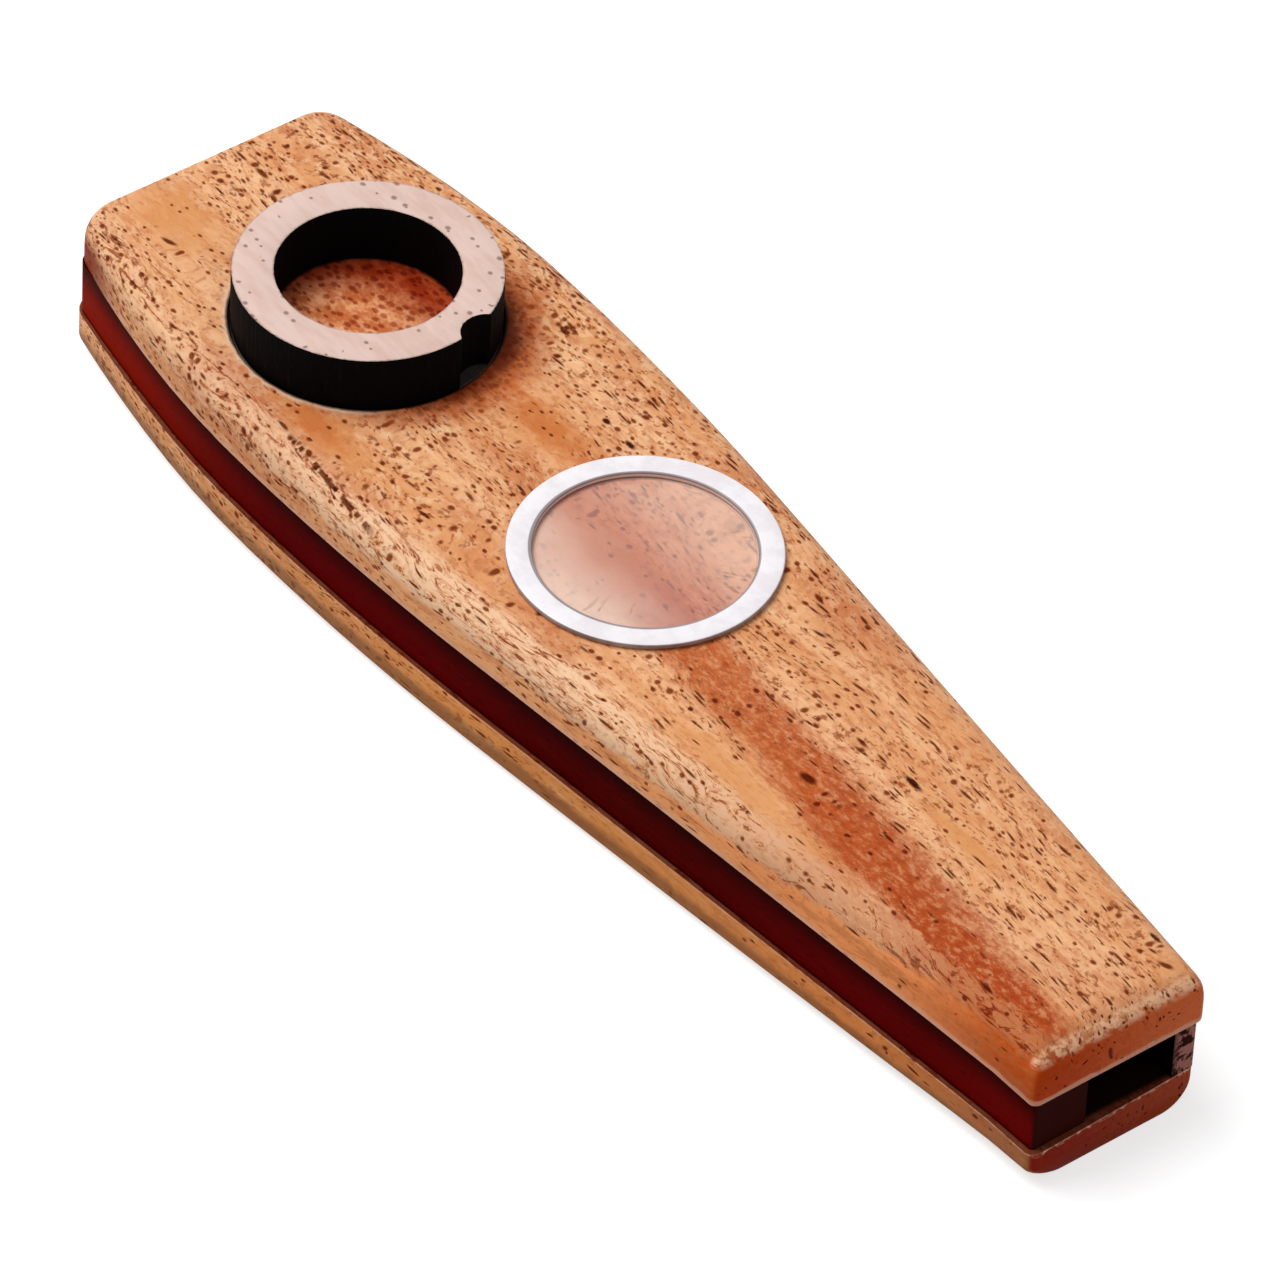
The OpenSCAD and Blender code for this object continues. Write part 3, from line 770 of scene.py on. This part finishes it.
def makeClampedSkin():
    material, tree, shader = newMaterial("clampedSkin")
    place = placeInMm(tree, (71, 23, 48))
    bent = useGroup(tree, grainBend, {"Vector": place, "Reach": 3.0})["Vector"]
    cloudy = grainNoise(tree, place, (0.45, 0.7, 0.7), 4.0, 0.75)
    base = blendColour(tree, soften(tree, cloudy, 0.38, 0.62), clampedLook["tan"], clampedLook["brown"])
    flecks = poreMask(tree, flatPores, bent, (1.1, 0.72), 0.50, 0.92)
    base = darken(tree, base, flecks, clampedLook["fleck"], 0.75)
    centre = middleOf("clamp_ring") / mm
    # Painted shade, darker towards the far side inside the bore
    farShade = roundReach(tree, placeInMm(tree), (centre.x + 1.0, centre.y - 2.6), 0.8)
    base = darken(tree, base, soften(tree, farShade, 4.2, 8.6), clampedLook["farShade"])
    # Under the ring, the white rim below shows through the skin
    reach = roundReach(tree, placeInMm(tree), centre, 0.25)
    smudged = soften(tree, noiseAt(tree, place, 0.6, 4.0, 0.7), 0.42, 0.66)
    smudged = blendColour(tree, smudged, clampedLook["smudge"], clampedLook["smudgeDark"])
    under = soften(tree, reach, clampedLook["smudgeFrom"], clampedLook["smudgeFull"])
    base = paint(tree, base, under, smudged)
    bandFrom, bandFull, bandFades, bandEnds = clampedLook["charBand"]
    band = times(tree, soften(tree, reach, bandFrom, bandFull), soften(tree, reach, bandEnds, bandFades))
    # Painted shade in the notch, and char with painted contact shade at the ring's outer foot
    notchX, notchY = clampedLook["notchAt"]
    notch = roundReach(tree, placeInMm(tree), (centre.x + notchX, centre.y + notchY), 0.15)
    notch = soften(tree, notch, *clampedLook["notchShade"])
    outer = calc(tree, "MAXIMUM", soften(tree, reach, *clampedLook["sootShadeOuter"]), notch)
    base = paint(tree, base, calc(tree, "MAXIMUM", band, outer), plateWood["sootAndShade"], 0.95)
    tree.links.new(base, shader["Base Color"])
    tree.links.new(scaled(tree, cloudy, 0.25, 0.35), shader["Roughness"])
    shader["Specular IOR Level"].default_value = 0.04
    setBump(tree, shader, [noiseAt(tree, place, 0.8, 3.0, 0.5), times(tree, flecks, -0.15)], 0.03 * mm)
    return material


spareSkin, clampedSkin = makeSpareSkin(), makeClampedSkin()
print("rail, ring, rim and skin materials made")


def addPiece(name, work, material, sharpAngle=32):
    mesh = bpy.data.meshes.new(name)
    work.to_mesh(mesh)
    work.free()
    mesh.materials.append(material)
    mesh.shade_smooth()
    mesh.set_sharp_from_angle(angle=sharpAngle * deg)
    piece = bpy.data.objects.new(name, mesh)
    bpy.context.scene.collection.objects.link(piece)
    return piece


def dress(piece, body, node):
    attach(piece, body)
    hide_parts(node)
    print("piece", piece.name, "stands for", node)


def sandUnevenly(work, swell, bowed):
    for v in work.verts:
        x, y, z = v.co / mm
        wide = min(1, max(0, (uneven["wideFrom"] - x) / (uneven["wideFrom"] - uneven["wideEnd"])))
        narrow = max(0, (x - uneven["narrowFrom"]) / (uneven["narrowEnd"] - uneven["narrowFrom"]))
        along = max(0, (x - uneven["dipFrom"]) / (uneven["narrowEnd"] - uneven["dipFrom"]))
        below, above = z / uneven["glueLow"], (uneven["top"] - z) / (uneven["top"] - uneven["glueHigh"])
        across = y / uneven["half"]
        if bowed:
            x += narrow * (uneven["bow"] * (1 - across ** 2) - uneven["cut"] * max(0, across) ** 3)
        point = uneven["point"] * narrow ** 4 * max(0, -across) ** 8
        x, y = x + point, y - point
        y += math.copysign(swell * wide ** 2, y)
        z -= uneven["dip"] * along * max(0, min(1, below, above))
        v.co = Vector((x, y, z)) * mm


# A glued part keeps its solid's shape but for the uneven sanding, with its cut edges eased
def finishSolid(node, name, look, material):
    work = bmesh.new()
    work.from_mesh(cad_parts[node].data)
    bmesh.ops.remove_doubles(work, verts=work.verts, dist=look["mergeWithin"])
    sandUnevenly(work, look["swell"], look["bowed"])
    flat = [e for e in work.edges if e.calc_face_angle() < look["flatWithin"]]
    bmesh.ops.dissolve_limit(work, angle_limit=look["flatWithin"], verts=work.verts, edges=flat)
    piece = addPiece(name, work, material)
    bevel = piece.modifiers.new("easedEdges", "BEVEL")
    bevel.width, bevel.segments, bevel.limit_method = look["ease"], look["steps"], "ANGLE"
    bevel.angle_limit, bevel.harden_normals = look["sharpFrom"], True
    dress(piece, "body", node)
    return piece


topCut = {"mergeWithin": 0.0001 * mm, "flatWithin": 0.1 * deg, "sharpFrom": 30 * deg,
          "ease": 0.18 * mm, "steps": 3, "swell": 0.0, "bowed": False}
bottomCut = {**topCut, "swell": 0.5, "bowed": True}
railCut = {**topCut, "ease": 0.10 * mm, "steps": 2, "swell": 0.7}
finishSolid("bottom_plate", "bottom_plate_sanded", bottomCut, bottomWood)
finishSolid("top_plate", "top_plate_sanded", topCut, topWood)
finishSolid("left_rail", "left_rail_waxed", railCut, railWood)
finishSolid("right_rail", "right_rail_waxed", railCut, railWood)


def makeRing():
    low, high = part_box("clamp_ring")
    outerR = (high.x - low.x) / 2
    centre = Vector((low.x + outerR, middleOf("clamp_ring").y, low.z))
    boreR, notchR, flute = ringLook["boreR"], ringLook["notchR"], ringLook["flute"]
    draw = random.Random(ringLook["seed"])
    work = bmesh.new()
    start, columns = Matrix.Translation(centre), ringLook["columns"]
    outer = bmesh.ops.create_circle(work, segments=columns, radius=outerR, matrix=start)["verts"]
    inner = bmesh.ops.create_circle(work, segments=columns, radius=boreR, matrix=start)["verts"]
    hub = outerR - ringLook["notchDepth"] + notchR
    for v in outer:
        spoke = v.co - centre
        turn = math.atan2(spoke.y, spoke.x) - ringLook["notchTurn"]
        beside = hub * math.sin(turn)
        reach = outerR
        if abs(beside) < notchR and math.cos(turn) > 0:
            reach = min(outerR, hub * math.cos(turn) - math.sqrt(notchR ** 2 - beside ** 2))
        v.co = centre + spoke.normalized() * (reach - draw.uniform(0, flute))
    for v in inner:
        v.co = centre + (v.co - centre).normalized() * (boreR + draw.uniform(0, flute))
    bmesh.ops.bridge_loops(work, edges=work.edges)
    lifted = bmesh.ops.extrude_face_region(work, geom=work.faces)
    upper = [g for g in lifted["geom"] if isinstance(g, bmesh.types.BMVert)]
    bmesh.ops.translate(work, verts=upper, vec=(0, 0, high.z - low.z))
    bmesh.ops.recalc_face_normals(work, faces=work.faces)
    rims = [e for e in work.edges if e.calc_face_angle() > ringLook["easeFrom"]]
    bmesh.ops.bevel(work, geom=rims, offset=ringLook["ease"], segments=2,
                    affect="EDGES", profile=0.5, material=-1)
    piece = addPiece("clamp_ring_charred", work, ringWood, 40)
    dress(piece, "ring", "clamp_ring")


makeRing()


def makeRim(node, name, body):
    low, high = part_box(node)
    outerR, centre = (high.x - low.x) / 2, (low + high) / 2
    work = bmesh.new()
    boreR = rimLook["boreR"]
    corners = [(boreR, low.z), (outerR, low.z), (outerR, high.z), (boreR, high.z)]
    profile = [work.verts.new((centre.x + r, centre.y, z)) for r, z in corners]
    work.faces.new(profile)
    bmesh.ops.bevel(work, geom=profile, offset=rimLook["ease"], segments=3,
                    affect="VERTICES", profile=0.5, material=-1)
    section = list(work.faces) + list(work.edges) + list(work.verts)
    bmesh.ops.spin(work, geom=section, cent=(centre.x, centre.y, 0), axis=(0, 0, 1), angle=360 * deg,
                   steps=rimLook["steps"], use_merge=True)
    bmesh.ops.remove_doubles(work, verts=work.verts, dist=0.0001 * mm)
    inside = [f for f in work.faces if len(f.verts) > 4]
    bmesh.ops.delete(work, geom=inside, context="FACES_ONLY")
    bmesh.ops.recalc_face_normals(work, faces=work.faces)
    dress(addPiece(name, work, rimPlastic), body, node)


skinCut = {"segments": 120, "rings": 26, "wrinkle": 0.022 * mm, "wavesPerMm": 0.35, "lift": 0.025 * mm}


def makeSkin(node, name, body, material, seed):
    low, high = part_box(node)
    radius, centre = (high.x - low.x) / 2, (low + high) / 2
    work = bmesh.new()
    base = low.z + skinCut["lift"]
    start = Matrix.Translation((centre.x, centre.y, base))
    bmesh.ops.create_circle(work, segments=skinCut["segments"], radius=radius, matrix=start)
    loop = list(work.edges)
    for step in range(skinCut["rings"] - 1):
        moved = bmesh.ops.extrude_edge_only(work, edges=loop)["geom"]
        loop = [g for g in moved if isinstance(g, bmesh.types.BMEdge)]
        ring = [g for g in moved if isinstance(g, bmesh.types.BMVert)]
        here, there = skinCut["rings"] - step, skinCut["rings"] - step - 1
        bmesh.ops.scale(work, vec=(there / here, there / here, 1), verts=ring, space=start.inverted())
    bmesh.ops.contextual_create(work, geom=loop)
    bmesh.ops.recalc_face_normals(work, faces=work.faces)
    bmesh.ops.solidify(work, geom=list(work.faces), thickness=high.z - base - skinCut["wrinkle"])
    bmesh.ops.recalc_face_normals(work, faces=work.faces)
    waves = skinCut["wavesPerMm"]
    for v in work.verts:
        flat = Vector((v.co.x - centre.x, v.co.y - centre.y, 0))
        tight = 1 - (flat.length / radius) ** 4
        where = Vector((flat.x / mm * waves, flat.y / mm * waves, seed))
        v.co.z += skinCut["wrinkle"] * tight * noise.noise(where)
    dress(addPiece(name, work, material), body, node)


makeRim("diaphragm_rim", "diaphragm_rim_moulded", "diaphragm")
makeSkin("diaphragm_film", "diaphragm_skin", "diaphragm", clampedSkin, 3.0)
makeRim("spare_rim", "spare_rim_moulded", "spare")
makeSkin("spare_film", "spare_skin", "spare", spareSkin, 9.0)

# Camera at the photograph's angle: turned by azimuth, raised by elevation and rolled a little
shot = {"azimuth": 51.02 * deg, "elevation": 42.65 * deg, "roll": 3.17 * deg, "distance": 0.9335,
        "aim": Vector((0, 0, 13.4)) * mm, "lens": 335.2, "sensor": 36.0, "shift": (-0.0054, -0.0562),
        "clip": (0.01, 20)}


def addCamera():
    a, e = shot["azimuth"], shot["elevation"]
    back = Vector((math.sin(a) * math.cos(e), -math.cos(a) * math.cos(e), math.sin(e)))
    data = bpy.data.cameras.new("studioCamera")
    data.lens, data.sensor_width = shot["lens"], shot["sensor"]
    data.clip_start, data.clip_end = shot["clip"]
    data.shift_x, data.shift_y = shot["shift"]
    camera = bpy.data.objects.new("studioCamera", data)
    bpy.context.scene.collection.objects.link(camera)
    camera.rotation_mode = "QUATERNION"
    camera.rotation_quaternion = back.to_track_quat("Z", "Y") @ Quaternion((0, 0, 1), shot["roll"])
    camera.location = shot["aim"] + back * shot["distance"]
    bpy.context.scene.camera = camera


addCamera()

# White table and soft light from the wide end
studio = {"tableSize": 6.0, "tableGap": 0.02 * mm, "tableColour": "#BCBCBC", "tableGlow": 0.66,
          "fill": 0.42, "backdrop": 1.0, "lampTowards": Vector((-0.42, -0.24, 0.88)),
          "lampDistance": 2.4, "lampSize": 1.9, "lampPower": 47.0}


# 1 for the rays that see the studio, by eye, in gloss or through clear material
def seesStudio(tree):
    path = addNode(tree, "LightPath").outputs
    seen = calc(tree, "MAXIMUM", path["Is Camera Ray"], path["Is Glossy Ray"])
    return calc(tree, "MAXIMUM", seen, path["Is Transmission Ray"])


def addStudio():
    work = bmesh.new()
    drop = Matrix.Translation((0, 0, -studio["tableGap"]))
    bmesh.ops.create_grid(work, x_segments=1, y_segments=1, size=studio["tableSize"] / 2, matrix=drop)
    mesh = bpy.data.meshes.new("table")
    work.to_mesh(mesh)
    work.free()
    table = bpy.data.objects.new("table", mesh)
    bpy.context.scene.collection.objects.link(table)
    material = bpy.data.materials.new("whiteTable")
    material.use_nodes = True
    tree = material.node_tree
    tree.nodes.clear()
    matt = addNode(tree, "BsdfDiffuse", {"Color": colour(studio["tableColour"])}).outputs[0]
    shown = times(tree, seesStudio(tree), studio["tableGlow"])
    glow = addNode(tree, "Emission", {"Strength": shown}).outputs[0]
    both = addNode(tree, "AddShader", {0: matt, 1: glow}).outputs[0]
    addNode(tree, "OutputMaterial", {"Surface": both})
    mesh.materials.append(material)

    world = bpy.data.worlds.new("studioWorld")
    world.use_nodes = True
    tree = world.node_tree
    tree.nodes.clear()
    fill = addNode(tree, "Background", {"Color": (1, 1, 1, 1), "Strength": studio["fill"]}).outputs[0]
    white = addNode(tree, "Background", {"Color": (1, 1, 1, 1), "Strength": studio["backdrop"]}).outputs[0]
    both = addNode(tree, "MixShader", {0: seesStudio(tree), 1: fill, 2: white}).outputs[0]
    addNode(tree, "OutputWorld", {"Surface": both})
    bpy.context.scene.world = world

    lamp = bpy.data.lights.new("softbox", "AREA")
    lamp.shape, lamp.size, lamp.energy = "DISK", studio["lampSize"], studio["lampPower"]
    holder = bpy.data.objects.new("softbox", lamp)
    bpy.context.scene.collection.objects.link(holder)
    towards = studio["lampTowards"].normalized()
    holder.location = towards * studio["lampDistance"]
    holder.rotation_mode = "QUATERNION"
    holder.rotation_quaternion = towards.to_track_quat("Z", "Y")


addStudio()
bpy.context.scene.view_settings.view_transform = "Standard"
print("camera, table and light placed")
